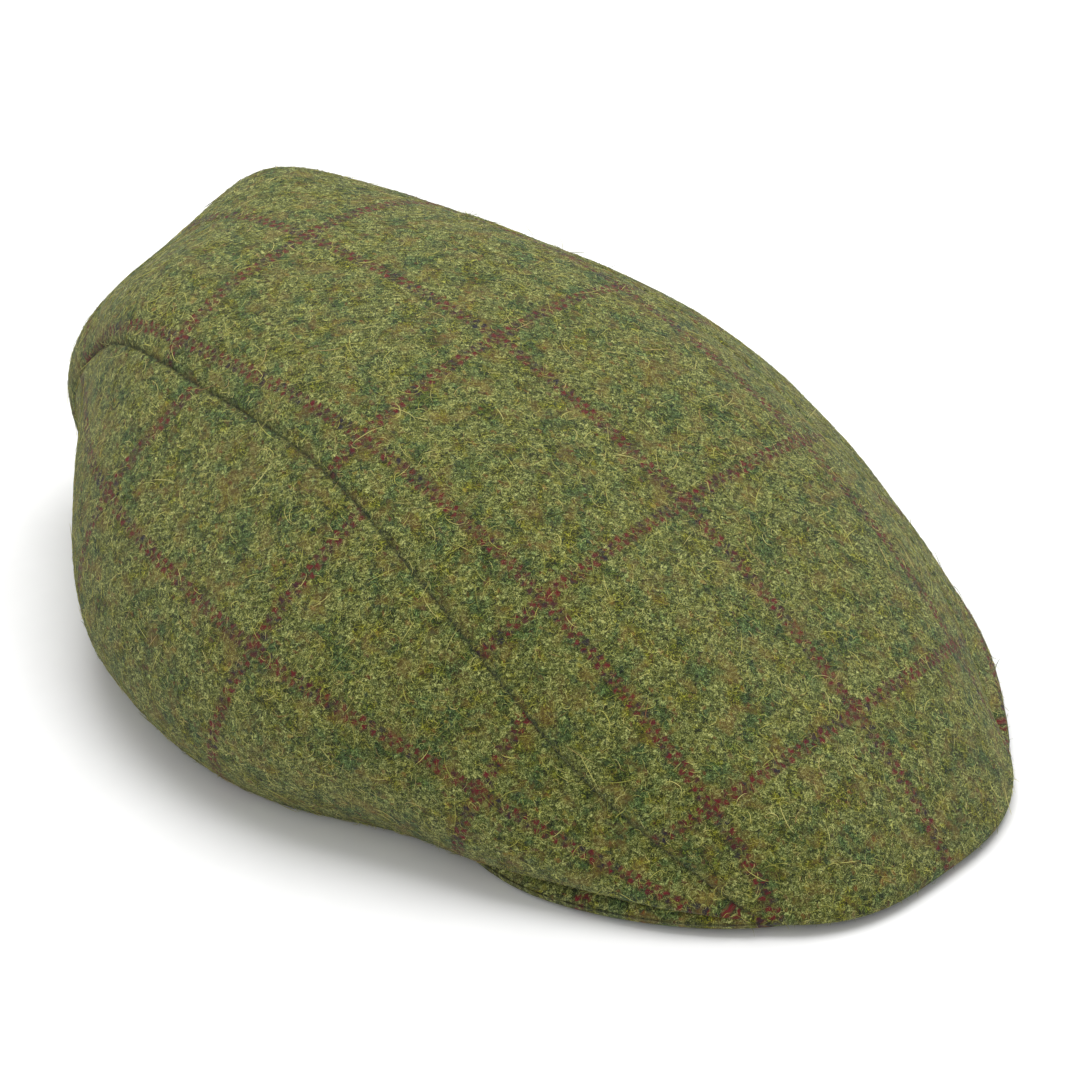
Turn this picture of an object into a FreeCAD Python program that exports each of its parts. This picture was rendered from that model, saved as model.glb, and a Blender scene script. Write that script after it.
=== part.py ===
import FreeCAD, Part
import math
import os

# A three-panel flat cap in woollen cloth, in millimetres.
# The peak points along -Y, the wearer's left is +X and the hem lies on Z = 0.
# Every cloth piece is a thin closed slab between an outer and an inner surface.

CLOTH = 1.8              # woollen outer cloth
LINING = 0.8             # quilted lining with its backing
CANVAS = 0.8             # stiffener behind the front of the crown
TAPE = 0.5               # tape over the inside of a crown seam
GAP = 0.3                # air between neighbouring layers
TAPE_HALF_WIDTH = 6.0
TAPE_ENDS = (0.04, 0.93)
CANVAS_END = 0.36        # how far back the canvas reaches, as a share of the crown
CANVAS_HALF_WIDTH = 0.86  # as a share of the centre panel's half width

BAND = 1.2               # sweatband thickness
BAND_HEIGHT = 28.0

PEAK_UNDER = 1.2
PEAK_BOARD = 1.6
PEAK_UPPER = 1.2
PEAK_LAYER_GAP = 0.1
PEAK_BOARD_INSET = 1.8   # the covers fold round the board's edge
PEAK_ARCH = 1.5          # rise of the peak from its edges to its middle

# Crown, front to back at even steps. Centre line as (y, z), seam and hem as (x, y, z).
CROWN_CENTRE = [
    (-138.5, 7.7), (-122.5, 25), (-95.5, 46), (-59.5, 68), (-19.5, 84), (23.5, 93),
    (67.5, 94), (108.5, 88), (135.5, 62), (138.5, 28), (116.5, 0),
]
CROWN_SEAM = [
    (50, -123, 7), (59, -103.5, 16.5), (65, -79.5, 32), (66, -49.5, 51.5), (63, -15.5, 69), (58, 20.5, 79),
    (55, 58.5, 80), (51, 91.5, 77.5), (43.5, 116, 61), (40.5, 123, 34), (42, 108, 0),
]
CROWN_HEM = [
    (53.5, -123, 6.4), (68.5, -99.5, 6.1), (78.5, -70.5, 5.9), (84.5, -43.5, 5.6), (87.5, -15.5, 0.6),
    (88.5, 12.5, 0), (87.5, 40.5, 0), (81.5, 68.5, 0), (69, 90.5, 0), (58.5, 100, 0), (46.5, 106.5, 0),
]
CROWN_ROUND = 0.46       # how far the side panel carries on in the centre panel's direction
CROWN_BULGE = 0.46       # how far it rises from the hem before turning in
HEM_LIFT = 0.75          # steepness of the side panel at the hem, 1 is upright

# Lining, front to back at even steps; it closes the crown off from the peak at the brow.
LINING_CENTRE = [
    (-91.5, 20), (-87.5, 37), (-67.5, 55), (-19.5, 77), (23.5, 87), (66.5, 88), (103.5, 82), (128.5, 57), (130.5, 28), (112.5, 10),
]
LINING_SEAM = [
    (40, -86.5, 22), (48, -79.5, 33), (56, -55.5, 44), (58, -15.5, 62), (53, 20.5, 73),
    (49, 58.5, 74.5), (45, 89.5, 71), (38, 110.5, 55), (36, 116.5, 31), (37, 107.5, 10),
]
LINING_HEM = [
    (44.5, -82.5, 16), (64, -68, 13), (76, -45, 11), (83, -15.5, 8), (85.4, 13.5, 7),
    (84, 41.5, 7), (77.5, 68, 7), (65, 89, 7), (53.5, 99, 7), (41, 106.3, 7),
]
LINING_ROUND = 0.42
LINING_BULGE = 0.5

# Inner face of the sweatband, front to back on the wearer's left: a 57 cm head.
HEAD_OVAL = [
    (0, -87.5), (32, -83), (57, -66.5), (73, -41.5), (80.5, -13.5), (82.5, 13.5),
    (81, 40.5), (74.5, 65.5), (62, 85.5), (42, 100.5), (21, 107), (0, 109),
]

# Peak outline from its middle to the temple: at the brow, and round the front.
PEAK_BROW = [(0, -90.5), (33, -86), (59, -69.5), (71.5, -52.5), (77, -42.5)]
PEAK_FRONT = [(0, -140.5), (28, -136), (52, -124.5), (70.5, -100), (80.5, -70.5), (86, -42.5)]


def bends(values):
    """Second derivatives of the natural cubic curve through evenly spaced values."""
    count = len(values)
    bend = [0.0] * count
    share = [0.0] * count
    for i in range(1, count - 1):
        pivot = 4.0 - share[i - 1]
        share[i] = 1.0 / pivot
        turn = values[i - 1] - 2.0 * values[i] + values[i + 1]
        bend[i] = (6.0 * turn - bend[i - 1]) / pivot
    for i in range(count - 2, 0, -1):
        bend[i] -= share[i] * bend[i + 1]
    return bend


def smooth(points):
    """Smooth curve through the points, as a function of u from 0 to 1."""
    columns = [(values, bends(values)) for values in zip(*points)]

    def at(u):
        place = u * (len(points) - 1)
        i = min(max(int(place), 0), len(points) - 2)
        f = place - i
        g = 1.0 - f
        return [
            g * v[i] + f * v[i + 1] - f * g * ((1.0 + g) * b[i] + (1.0 + f) * b[i + 1]) / 6.0
            for v, b in columns
        ]

    return at


def unit(vector):
    return FreeCAD.Vector(vector).normalize()


def steps(start, end, count):
    return [start + (end - start) * i / count for i in range(count + 1)]


class Dome:
    """A crown or lining: centre, seam and hem curves joined by smooth ribs across."""

    def __init__(self, centre, seam, hem, roundness, bulge):
        self.centre = smooth([(0, y, z) for y, z in centre])
        self.seam = smooth(seam)
        self.hem = smooth(hem)
        self.roundness = roundness
        self.bulge = bulge

    def rib(self, u, depth):
        """Centre, seam and hem points of the rib at u, moved inward by depth."""
        centre, seam, hem = (FreeCAD.Vector(*c(u)) for c in (self.centre, self.seam, self.hem))
        hem.z = max(hem.z, 0)
        outward = unit(FreeCAD.Vector(seam.x, 3 * (seam.y - centre.y), 3 * (seam.z - centre.z)))
        along = []
        for curve in (self.centre, self.seam, self.hem):
            along.append(FreeCAD.Vector(*curve(u + 0.002)) - FreeCAD.Vector(*curve(u - 0.002)))
        centre_normal = unit(FreeCAD.Vector(0, -along[0].z, along[0].y))
        seam_normal = unit(outward.cross(along[1]))
        hem_normal = unit(FreeCAD.Vector(along[2].y, -along[2].x, 0))
        rise = unit(hem_normal * math.sqrt(1 - HEM_LIFT ** 2) + FreeCAD.Vector(0, 0, HEM_LIFT))
        centre -= centre_normal * depth
        seam -= seam_normal * depth
        hem -= hem_normal * (depth / HEM_LIFT)
        return centre, seam, hem, outward, rise

    def centre_point(self, u, across, depth):
        """Point of the centre panel; across runs from -1 to 1, seam to seam."""
        centre, seam, hem, outward, rise = self.rib(u, depth)
        drop = abs(across) ** 3
        y = centre.y + (seam.y - centre.y) * drop
        z = centre.z + (seam.z - centre.z) * drop
        return FreeCAD.Vector(seam.x * across, y, z)

    def side_point(self, u, down, depth, side=1):
        """Point of a side panel; down runs from 0 at the seam to 1 at the hem."""
        centre, seam, hem, outward, rise = self.rib(u, depth)
        reach = (hem - seam).Length
        over = seam + outward * (reach * self.roundness)
        under = hem + rise * (reach * self.bulge)
        up = 1 - down
        point = seam * up ** 3 + over * (3 * up * up * down)
        point += under * (3 * up * down * down) + hem * down ** 3
        return FreeCAD.Vector(side * point.x, point.y, point.z)

    def seam_gap(self, u):
        """Half the gap at the seam, as shares of the centre and side panels."""
        centre, seam, hem, outward, rise = self.rib(u, 0)
        return 0.5 * GAP / seam.x, 0.5 * GAP / (hem - seam).Length


def surface(grid):
    face = Part.BSplineSurface()
    face.interpolate(grid)
    return face


def slab(outer_grid, inner_grid):
    """Closed solid between two grids of points that face each other."""
    outer = surface(outer_grid)
    inner = surface(inner_grid)
    faces = [outer.toShape(), inner.toShape()]
    for pick in ("uIso", "vIso"):
        for end in (0.0, 1.0):
            edges = [getattr(s, pick)(end).toShape() for s in (outer, inner)]
            faces.append(Part.makeRuledSurface(*edges))
    shell = Part.makeShell(faces)
    shell.sewShape()
    solid = Part.makeSolid(shell)
    if solid.Volume < 0:
        solid.reverse()
    return solid


def centre_slab(dome, us, half_width, depth, thickness):
    """Slab of a centre panel; half_width is a function of u."""
    grids = []
    for d in (depth, depth + thickness):
        grids.append([[dome.centre_point(u, t * half_width(u), d) for t in steps(-1, 1, 14)] for u in us])
    return slab(*grids)


def side_slab(dome, us, side, depth, thickness):
    """Slab of a side panel, on the wearer's left for side 1 and right for side -1."""
    grids = []
    for d in (depth, depth + thickness):
        grid = []
        for u in us:
            start = dome.seam_gap(u)[1]
            grid.append([dome.side_point(u, q, d, side) for q in steps(start, 1, 12)])
        grids.append(grid)
    return slab(*grids)


def panel_set(dome, us, depth, thickness):
    """Centre, left and right panels of one layer."""
    centre = centre_slab(dome, us, lambda u: 1 - dome.seam_gap(u)[0], depth, thickness)
    left = side_slab(dome, us, 1, depth, thickness)
    right = side_slab(dome, us, -1, depth, thickness)
    return centre, left, right


def seam_tape(dome, side, depth):
    """Narrow tape lying under one crown seam."""
    grids = []
    for d in (depth, depth + TAPE):
        grid = []
        for u in steps(TAPE_ENDS[0], TAPE_ENDS[1], 24):
            centre, seam, hem, outward, rise = dome.rib(u, 0)
            on_centre = TAPE_HALF_WIDTH / seam.x
            on_side = min(TAPE_HALF_WIDTH / (hem - seam).Length, 0.3)
            row = [dome.centre_point(u, 1 - on_centre * f, d) for f in (1.0, 0.5, 0.0)]
            row += [dome.side_point(u, on_side * f, d) for f in (0.5, 1.0)]
            grid.append([FreeCAD.Vector(side * p.x, p.y, p.z) for p in row])
        grids.append(grid)
    return slab(*grids)


def mirrored(half):
    """Full outline through half an outline and its mirror image."""
    return [(-x, y) for x, y in reversed(half[1:])] + list(half)


def peak_layer(bottom, thickness, inset):
    """Arched crescent from the brow to the front edge; inset shrinks it all round."""
    brow = smooth(mirrored(PEAK_BROW))
    front = smooth(mirrored(PEAK_FRONT))
    end = inset / 86
    grids = []
    for z in (bottom + thickness, bottom):
        grid = []
        for a in steps(end, 1 - end, 28):
            back_x, back_y = brow(a)
            tip_x, tip_y = front(a)
            depth = math.hypot(tip_x - back_x, tip_y - back_y)
            row = []
            for b in steps(inset / depth, 1 - inset / depth, 4):
                x = back_x + (tip_x - back_x) * b
                y = back_y + (tip_y - back_y) * b
                arch = PEAK_ARCH * (1 - (x / PEAK_FRONT[-1][0]) ** 2)
                row.append(FreeCAD.Vector(x, y, z + arch))
            grid.append(row)
        grids.append(grid)
    return slab(*grids)


def head_curve(u):
    """Point and outward normal of the head oval; u runs from the front over the left to the back."""
    start = [(-x, y) for x, y in reversed(HEAD_OVAL[1:4])]
    end = [(-x, y) for x, y in reversed(HEAD_OVAL[-4:-1])]
    points = start + HEAD_OVAL + end
    curve = smooth(points)
    scale = (len(HEAD_OVAL) - 1) / (len(points) - 1)
    place = 3 / (len(points) - 1) + u * scale
    before, after = curve(place - 0.001), curve(place + 0.001)
    normal = unit(FreeCAD.Vector(after[1] - before[1], before[0] - after[0], 0))
    return FreeCAD.Vector(*curve(place), 0), normal


def head_face(outset):
    """Flat face inside the head oval, grown by outset."""
    left = []
    for u in steps(0, 1, 30):
        point, normal = head_curve(u)
        left.append(point + normal * outset)
    right = [FreeCAD.Vector(-p.x, p.y, 0) for p in reversed(left[1:-1])]
    curve = Part.BSplineCurve()
    curve.interpolate(left + right, PeriodicFlag=True)
    return Part.Face(Part.Wire(curve.toShape()))


def sweatband():
    """Upright band round the head opening, standing on the hem plane."""
    height = FreeCAD.Vector(0, 0, BAND_HEIGHT)
    return head_face(BAND).extrude(height).cut(head_face(0).extrude(height))


def build():
    crown = Dome(CROWN_CENTRE, CROWN_SEAM, CROWN_HEM, CROWN_ROUND, CROWN_BULGE)
    inside = Dome(LINING_CENTRE, LINING_SEAM, LINING_HEM, LINING_ROUND, LINING_BULGE)
    under_cloth = CLOTH + GAP
    nodes = {}
    panels = panel_set(crown, steps(0, 1, 40), 0, CLOTH)
    nodes["centre_panel"], nodes["side_panel_left"], nodes["side_panel_right"] = panels
    linings = panel_set(inside, steps(0, 1, 36), 0, LINING)
    nodes["lining_centre"], nodes["lining_left"], nodes["lining_right"] = linings
    front = steps(0.02, CANVAS_END, 16)
    nodes["front_canvas"] = centre_slab(crown, front, lambda u: CANVAS_HALF_WIDTH, under_cloth, CANVAS)
    nodes["seam_tape_left"] = seam_tape(crown, 1, under_cloth)
    nodes["seam_tape_right"] = seam_tape(crown, -1, under_cloth)
    nodes["sweatband"] = sweatband()
    board_bottom = PEAK_UNDER + PEAK_LAYER_GAP
    upper_bottom = board_bottom + PEAK_BOARD + PEAK_LAYER_GAP
    nodes["peak_under_cover"] = peak_layer(0, PEAK_UNDER, 0)
    nodes["peak_board"] = peak_layer(board_bottom, PEAK_BOARD, PEAK_BOARD_INSET)
    nodes["peak_upper_cover"] = peak_layer(upper_bottom, PEAK_UPPER, 0)
    return nodes


parts = build()
for name, shape in parts.items():
    shape.exportStep(f"parts/{name}.step")
    print(f"{name:18s} valid={shape.isValid()} volume={shape.Volume / 1000:.2f} cm3 box={shape.BoundBox}")
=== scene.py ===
import math

import bpy
import numpy as np
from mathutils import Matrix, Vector


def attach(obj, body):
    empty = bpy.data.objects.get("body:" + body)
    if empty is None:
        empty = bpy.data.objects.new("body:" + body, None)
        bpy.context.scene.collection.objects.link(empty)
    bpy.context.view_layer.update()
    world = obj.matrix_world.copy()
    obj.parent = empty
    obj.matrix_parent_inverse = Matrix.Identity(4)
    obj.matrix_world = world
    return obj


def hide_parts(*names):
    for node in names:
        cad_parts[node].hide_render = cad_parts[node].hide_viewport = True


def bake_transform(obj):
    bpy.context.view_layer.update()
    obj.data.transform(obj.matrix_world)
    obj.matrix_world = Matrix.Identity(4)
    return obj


# A three-panel tweed flat cap. Lengths are in millimetres until a mesh is made.
# The peak points along -Y, the wearer's left is +X and the hem lies on Z = 0.

MM = 0.001
SEED = 7

# Crown, front to back at even steps. Centre line as (y, z), seam and hem as (x, y, z).
CROWN_CENTRE = [
    (-140.5, 2.6), (-122.5, 25), (-95.5, 46), (-59.5, 68), (-19.5, 84), (23.5, 93),
    (67.5, 94), (108.5, 88), (135.5, 62), (138.5, 28), (116.5, 0),
]
CROWN_SEAM = [
    (49.5, -122.8, 3.2), (59, -103.5, 16.5), (65, -79.5, 32), (66, -49.5, 51.5), (63, -15.5, 69),
    (58, 20.5, 79), (55, 58.5, 80), (51, 91.5, 77.5), (43.5, 116, 61), (40.5, 123, 34), (42, 108, 0),
]
CROWN_HEM = [
    (52, -121, 3.6), (68.5, -99.5, 5.0), (78.5, -70.5, 4.8), (85, -43.5, 1.8), (87.5, -15.5, 0.2),
    (88.5, 12.5, 0), (87.5, 40.5, 0), (81.5, 68.5, 0), (69, 90.5, 0), (58.5, 100, 0), (46.5, 106.5, 0),
]
CROWN_ROUND = 0.46       # how far a side panel carries on in the centre panel's direction
CROWN_BULGE = 0.46       # how far it rises from the hem before it turns in
CENTRE_LENGTH = 380      # front to back along the centre panel
SIDE_LENGTH = 300        # front to back along a side panel
HALF_WIDTH_SHARE = 1.08  # half width of the centre panel along the cloth, for each mm of the seam's x

LINING_CENTRE = [
    (-91.5, 20), (-87.5, 37), (-67.5, 55), (-19.5, 77), (23.5, 87), (66.5, 88), (103.5, 82), (128.5, 57),
    (130.5, 28), (112.5, 10),
]
LINING_SEAM = [
    (40, -86.5, 22), (48, -79.5, 33), (56, -55.5, 44), (58, -15.5, 62), (53, 20.5, 73),
    (49, 58.5, 74.5), (45, 89.5, 71), (38, 110.5, 55), (36, 116.5, 31), (37, 107.5, 10),
]
LINING_HEM = [
    (44.5, -82.5, 16), (64, -68, 13), (76, -45, 11), (83, -15.5, 8), (85.4, 13.5, 7),
    (84, 41.5, 7), (77.5, 68, 7), (65, 89, 7), (53.5, 99, 7), (41, 106.3, 7),
]
LINING_ROUND = 0.42
LINING_BULGE = 0.5
HEM_LIFT = 0.75          # steepness of the side panels at the hem, 1 is upright

HEAD_OVAL = [
    (0, -87.5), (32, -83), (57, -66.5), (73, -41.5), (80.5, -13.5), (82.5, 13.5),
    (81, 40.5), (74.5, 65.5), (62, 85.5), (42, 100.5), (21, 107), (0, 109),
]
PEAK_BROW = [(0, -90.5), (33, -86), (59, -69.5), (71.5, -52.5), (77, -42.5)]
PEAK_FRONT = [(0, -136.5), (28, -132.5), (51, -121.5), (70.5, -99.5), (80.5, -70.5), (86, -42.5)]
PEAK_HALF_WIDTH = 86
PEAK_SPAN = 330          # tip to tip along the peak's front
PEAK_MIDDLE = 2.15       # height of the peak's mid plane at its edges
PEAK_RIM = 2.1           # radius of the peak's rolled rim
PEAK_ARCH = 1.5          # rise of the peak from its edges to its middle
BOARD_INSET = 2.4        # the board stops short of the brow
BOARD_HALF = 0.75        # half the board's thickness

# Thicknesses, and depths of the hidden layers under the outside of the crown.
CLOTH = 1.7
LINING = 0.7
CANVAS = 0.7
CANVAS_DEPTH = 2.4
TAPE = 0.45
TAPE_DEPTH = 3.0
TAPE_HALF_WIDTH = 6
BAND = 1.1
BAND_HEIGHT = 28.0
GRID = 1.7               # spacing of the cloth mesh
LUMPS = 0.55             # height of the slow unevenness of the tweed
QUILT_CELL = 24.0        # between the stitched lines of the quilting
FAR_FROM_SEAM = 99.0     # stands for "no seam near"

CHECK_ACROSS = 49.0      # between the check lines that run front to back
CHECK_ALONG = 67.5       # between the check lines that run side to side
YARN_STEP = 2.6          # between the coloured floats along a check line
TWILL_STEP = 1.7         # between the ridges of the twill
CHECK_START = 44         # from the peak edge to the first line that runs side to side
# Side panel's straight grain: height of its long check line up from the hem, at each y.
GRAIN_LINE = [(-110, 1), (-75, 14), (-40, 30), (-5, 48), (30, 54), (65, 58.5), (100, 60)]
# Where the lines that run side to side cross a side panel.
SIDE_CROSSINGS = [(-117.5, -67.5), (-54, 0), (9.5, 67.5), (63, 135), (118, 195)]

# Where the cap leans away from its even shape, as it has settled: place, reach and move.
LEANS = [
    ((30, 121, 76), 22, (1.0, 3.0, 5.0)),
    ((-20, 122, 74), 24, (0, -3.0, -2.5)),
    ((-32, 133, 36), 26, (-1.5, 3.5, 0)),
    ((34, 84, 84), 30, (-0.6, 0, -1.6)),
    ((-68, 96, 13), 34, (3.6, -3.2, 0)),
    ((-96, 14, 5), 38, (-5.6, 0, 0)),
    ((-90, -37, 3), 24, (6.4, 0.6, 0)),
    ((56, -113, 18), 24, (-2.2, 0.6, -0.4)),
    ((16, -142, 6), 26, (0, -2.2, 0)),
    ((-30, -142, 6), 36, (-0.5, -3.5, 0)),
    ((-72, -95, 3), 30, (2.4, 1.2, 0)),
]

# Cloth pieces as laid flat: width, length and area, in metres.
CENTRE_CUT = (0.142, 0.397, 0.0443)
SIDE_CUT = (0.104, 0.267, 0.0195)
LINING_CENTRE_CUT = (0.124, 0.319, 0.0312)
LINING_SIDE_CUT = (0.088, 0.229, 0.0151)

# Loose wool: length, radius and joints of a fibre. Each panel has its own two counts.
LONG_WOOL = (5.5, 0.075, 6)
NAP = (2.1, 0.052, 3)
FIBRE_LIFT = 0.6
CENTRE_FIBRES = (2200, 21000)
SIDE_FIBRES = (950, 10000)
FLOOR_CLEARANCE = 0.2    # no fibre comes lower than this

# Light and camera, in metres, degrees and watts.
FLOOR_SIZE = 8
FLOOR_HEIGHT = -0.0006
SKY_STRENGTH = 0.62
LAMPS = [("overhead", (0.5, 0.3, 1.6), 1.6, 33), ("front_left", (-1.5, -0.9, 1.0), 1.2, 5)]
CAP_MIDDLE = (0, 0.0025, 0.035)
CAMERA_AZIMUTH = -47.1
CAMERA_ELEVATION = 34.4
CAMERA_DISTANCE = 1.552
CAMERA_LENS = 200.8
CAMERA_SLIDE = (0.0053, -0.0017)  # to the right and up, to centre the cap in the frame

# Distances of the outer rows of cloth mesh from a panel's seam and from its hem.
SEAM_ROWS = [0, 0.3, 0.6, 1.0, 1.6, 2.4, 3.4, 4.8, 6.4]
HEM_ROWS = [4.2, 2.8, 1.8, 1.1, 0.6, 0.25, 0]


# ---- curves

def bends(values):
    """Second derivatives of the natural cubic curve through evenly spaced values."""
    count = len(values)
    bend = [0.0] * count
    share = [0.0] * count
    for i in range(1, count - 1):
        pivot = 4.0 - share[i - 1]
        share[i] = 1.0 / pivot
        turn = values[i - 1] - 2.0 * values[i] + values[i + 1]
        bend[i] = (6.0 * turn - bend[i - 1]) / pivot
    for i in range(count - 2, 0, -1):
        bend[i] -= share[i] * bend[i + 1]
    return np.array(bend)


def smooth(points):
    """Smooth curve through the points, as a function of an array u from 0 to 1."""
    columns = [(np.array(values, float), bends(values)) for values in zip(*points)]
    last = len(points) - 2

    def at(u):
        place = np.asarray(u, float) * (last + 1)
        i = np.clip(place.astype(int), 0, last)
        f = place - i
        g = 1.0 - f
        out = []
        for v, b in columns:
            sag = f * g * ((1.0 + g) * b[i] + (1.0 + f) * b[i + 1]) / 6.0
            out.append(g * v[i] + f * v[i + 1] - sag)
        return np.stack(out, -1)

    return at


def unit(vectors):
    """The vectors brought to length 1."""
    return vectors / np.linalg.norm(vectors, axis=-1, keepdims=True)


def lengths_along(points):
    """Running length down the first axis of a grid of points."""
    steps = np.linalg.norm(np.diff(points, axis=0), axis=-1)
    return np.concatenate([np.zeros_like(steps[:1]), np.cumsum(steps, axis=0)])


def per_point(depth):
    """A depth ready to multiply a grid of vectors, whether it is one number or a grid."""
    return np.asarray(depth)[..., None] if np.ndim(depth) else depth


class Dome:
    """A crown or lining: centre, seam and hem curves joined by smooth ribs across."""

    def __init__(self, centre, seam, hem, roundness, bulge):
        self.centre = smooth([(0, y, z) for y, z in centre])
        self.seam = smooth(seam)
        self.hem = smooth(hem)
        self.roundness = roundness
        self.bulge = bulge

    def rib(self, u):
        """Centre, seam and hem points, their inward directions and the rib's tangents."""
        centre, seam, hem = self.centre(u), self.seam(u), self.hem(u)
        hem[..., 2] = np.maximum(hem[..., 2], 0)
        outward = unit((seam - centre) * (1, 3, 3))
        runs = [curve(u + 0.002) - curve(u - 0.002) for curve in (self.centre, self.seam, self.hem)]
        zero = np.zeros_like(u)
        centre_normal = unit(np.stack([zero, -runs[0][..., 2], runs[0][..., 1]], -1))
        seam_normal = unit(np.cross(outward, runs[1]))
        hem_normal = unit(np.stack([runs[2][..., 1], -runs[2][..., 0], zero], -1))
        rise = unit(hem_normal * math.sqrt(1 - HEM_LIFT ** 2) + np.array([0, 0, HEM_LIFT]))
        return centre, seam, hem, centre_normal, seam_normal, hem_normal / HEM_LIFT, outward, rise

    def centre_points(self, u, across, depth=0.0):
        """Points of the centre panel; across runs from -1 to 1, seam to seam."""
        centre, seam, _, centre_normal, seam_normal, _, _, _ = self.rib(u)
        depth = per_point(depth)
        centre = centre - centre_normal * depth
        seam = seam - seam_normal * depth
        drop = np.abs(across) ** 3
        y = centre[..., 1] + (seam[..., 1] - centre[..., 1]) * drop
        z = centre[..., 2] + (seam[..., 2] - centre[..., 2]) * drop
        return np.stack([seam[..., 0] * across, y, z], -1)

    def side_points(self, u, down, depth=0.0):
        """Points of the left side panel; down runs from 0 at the seam to 1 at the hem."""
        _, seam, hem, _, seam_normal, hem_normal, outward, rise = self.rib(u)
        depth = per_point(depth)
        seam = seam - seam_normal * depth
        hem = hem - hem_normal * depth
        reach = np.linalg.norm(hem - seam, axis=-1, keepdims=True)
        over = seam + outward * reach * self.roundness
        under = hem + rise * reach * self.bulge
        q = down[..., None]
        p = 1 - q
        return seam * p ** 3 + over * (3 * p * p * q) + under * (3 * p * q * q) + hem * q ** 3


# ---- meshes

def grid_faces(rows, columns, flip=False):
    """Quads of a rows by columns grid of vertices."""
    index = np.arange(rows * columns).reshape(rows, columns)
    quads = np.stack([index[:-1, :-1], index[1:, :-1], index[1:, 1:], index[:-1, 1:]], -1)
    quads = quads.reshape(-1, 4)
    return quads[:, ::-1] if flip else quads


def new_object(name, vertices, faces, attributes=None):
    """Smooth-shaded mesh object from points in millimetres."""
    mesh = bpy.data.meshes.new(name)
    mesh.from_pydata((np.asarray(vertices) * MM).tolist(), [], np.asarray(faces).tolist())
    for key, values in (attributes or {}).items():
        kind = "FLOAT" if np.ndim(values) == 1 else "FLOAT_VECTOR"
        field = "value" if kind == "FLOAT" else "vector"
        attribute = mesh.attributes.new(key, kind, "POINT")
        attribute.data.foreach_set(field, np.asarray(values, np.float32).ravel())
    mesh.shade_smooth()
    mesh.update()
    obj = bpy.data.objects.new(name, mesh)
    bpy.context.collection.objects.link(obj)
    return obj


def slab_object(name, outer, inner, pattern, seam=None, mirror=False):
    """Closed thin piece between two grids of points, with its cloth coordinates.

    pattern is one grid of coordinates, or one for each face; seam is the distance from a seam, which
    places the painted seam shade.
    """
    rows, columns = outer.shape[:2]
    count = rows * columns
    points = np.concatenate([outer.reshape(-1, 3), inner.reshape(-1, 3)])
    index = np.arange(count).reshape(rows, columns)
    rim = np.concatenate([index[0, :], index[1:, -1], index[-1, -2::-1], index[-2:0:-1, 0]])
    after = np.roll(rim, -1)
    sides = np.stack([rim, after, after + count, rim + count], -1)
    faces = np.concatenate([
        grid_faces(rows, columns),
        grid_faces(rows, columns, flip=True) + count,
        sides,
    ])
    if mirror:
        points = points * (-1, 1, 1)
        faces = faces[:, ::-1]
    cloth = np.zeros((2 * count, 3))
    cloth[:, :2] = np.broadcast_to(pattern, (2, rows, columns, 2)).reshape(-1, 2)
    gap = np.full(2 * count, FAR_FROM_SEAM) if seam is None else np.tile(seam.ravel(), 2)
    return new_object(name, settled(points), faces, {"cloth": cloth, "seam": gap})


# ---- relief of the cloth

def wander(points):
    """Slow unevenness of soft cloth, about -1 to 1, from a few crossed waves."""
    x, y, z = np.moveaxis(points, -1, 0)
    waves = np.sin(0.071 * x + 0.043 * y + 0.6) * np.sin(0.052 * y - 0.061 * z + 1.1)
    waves += 0.6 * np.sin(0.11 * x - 0.037 * y + 0.083 * z + 2.0)
    waves += 0.35 * np.sin(0.19 * y + 0.13 * x + 0.4) * np.sin(0.17 * x - 0.11 * z)
    return waves / 1.6


def settled(points):
    """Points moved by the cap's leans."""
    for place, reach, move in LEANS:
        away = np.linalg.norm(points - np.array(place), axis=-1, keepdims=True)
        points = points + np.exp(-(away / reach) ** 2) * np.array(move)
    return points


def seam_depth(run):
    """How deep a crown seam sinks, least at the pressed-flat front."""
    return 0.75 + 0.25 * np.clip((run - 40) / 110, 0, 1)


def seam_dip(distance, run):
    """Inward dip of cloth beside a seam, with the small puckers that its stitches pull."""
    groove = 0.95 * np.exp(-(distance / 1.1) ** 2) * seam_depth(run) + 0.3 * np.exp(-distance / 5.0)
    puckers = np.sin(run / 1.55 + 0.9 * np.sin(run / 11.0)) * np.exp(-distance / 4.0)
    return groove + 0.16 * puckers


def rows_from_seam(length, hem):
    """Distances from the seam across a panel, finer at its edges, one row for each length."""
    near = np.array(SEAM_ROWS)
    far = np.array(HEM_ROWS) if hem else np.array([0.0])
    middle = max(int((np.max(length) - near[-1] - far[0]) / GRID), 2)
    share = np.linspace(0, 1, middle + 1)[1:-1] if hem else np.linspace(0, 1, middle + 1)[1:]
    room = near[-1] + far[0] + 1.0
    squeeze = np.minimum(length / room * 0.6, 1.0)[:, None]
    start = near[None] * squeeze
    if not hem:
        rest = start[:, -1:] + (length[:, None] - start[:, -1:]) * share
        return np.concatenate([start, rest], 1)
    end = length[:, None] - far[None] * squeeze
    rest = start[:, -1:] + (end[:, :1] - start[:, -1:]) * share
    return np.concatenate([start, rest, end], 1)


def turned_in(inner, from_hem):
    """Inner face drawn to the sweatband along the hem, where the turning is sewn to it.

    Also gives how far each point was drawn.
    """
    share = np.exp(-(from_hem / 3.0) ** 2) * np.clip((inner[..., 1] + 46) / 8, 0, 1)
    loop, normals = head_loop()
    band = loop + normals * (BAND + 0.35)
    out = inner.copy()
    for place in zip(*np.nonzero(share > 0.02)):
        away = band - inner[place][:2]
        near = np.argmin(np.hypot(away[:, 0], away[:, 1]))
        out[place][:2] += away[near] * share[place]
    return out, np.linalg.norm(out - inner, axis=-1)


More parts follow.
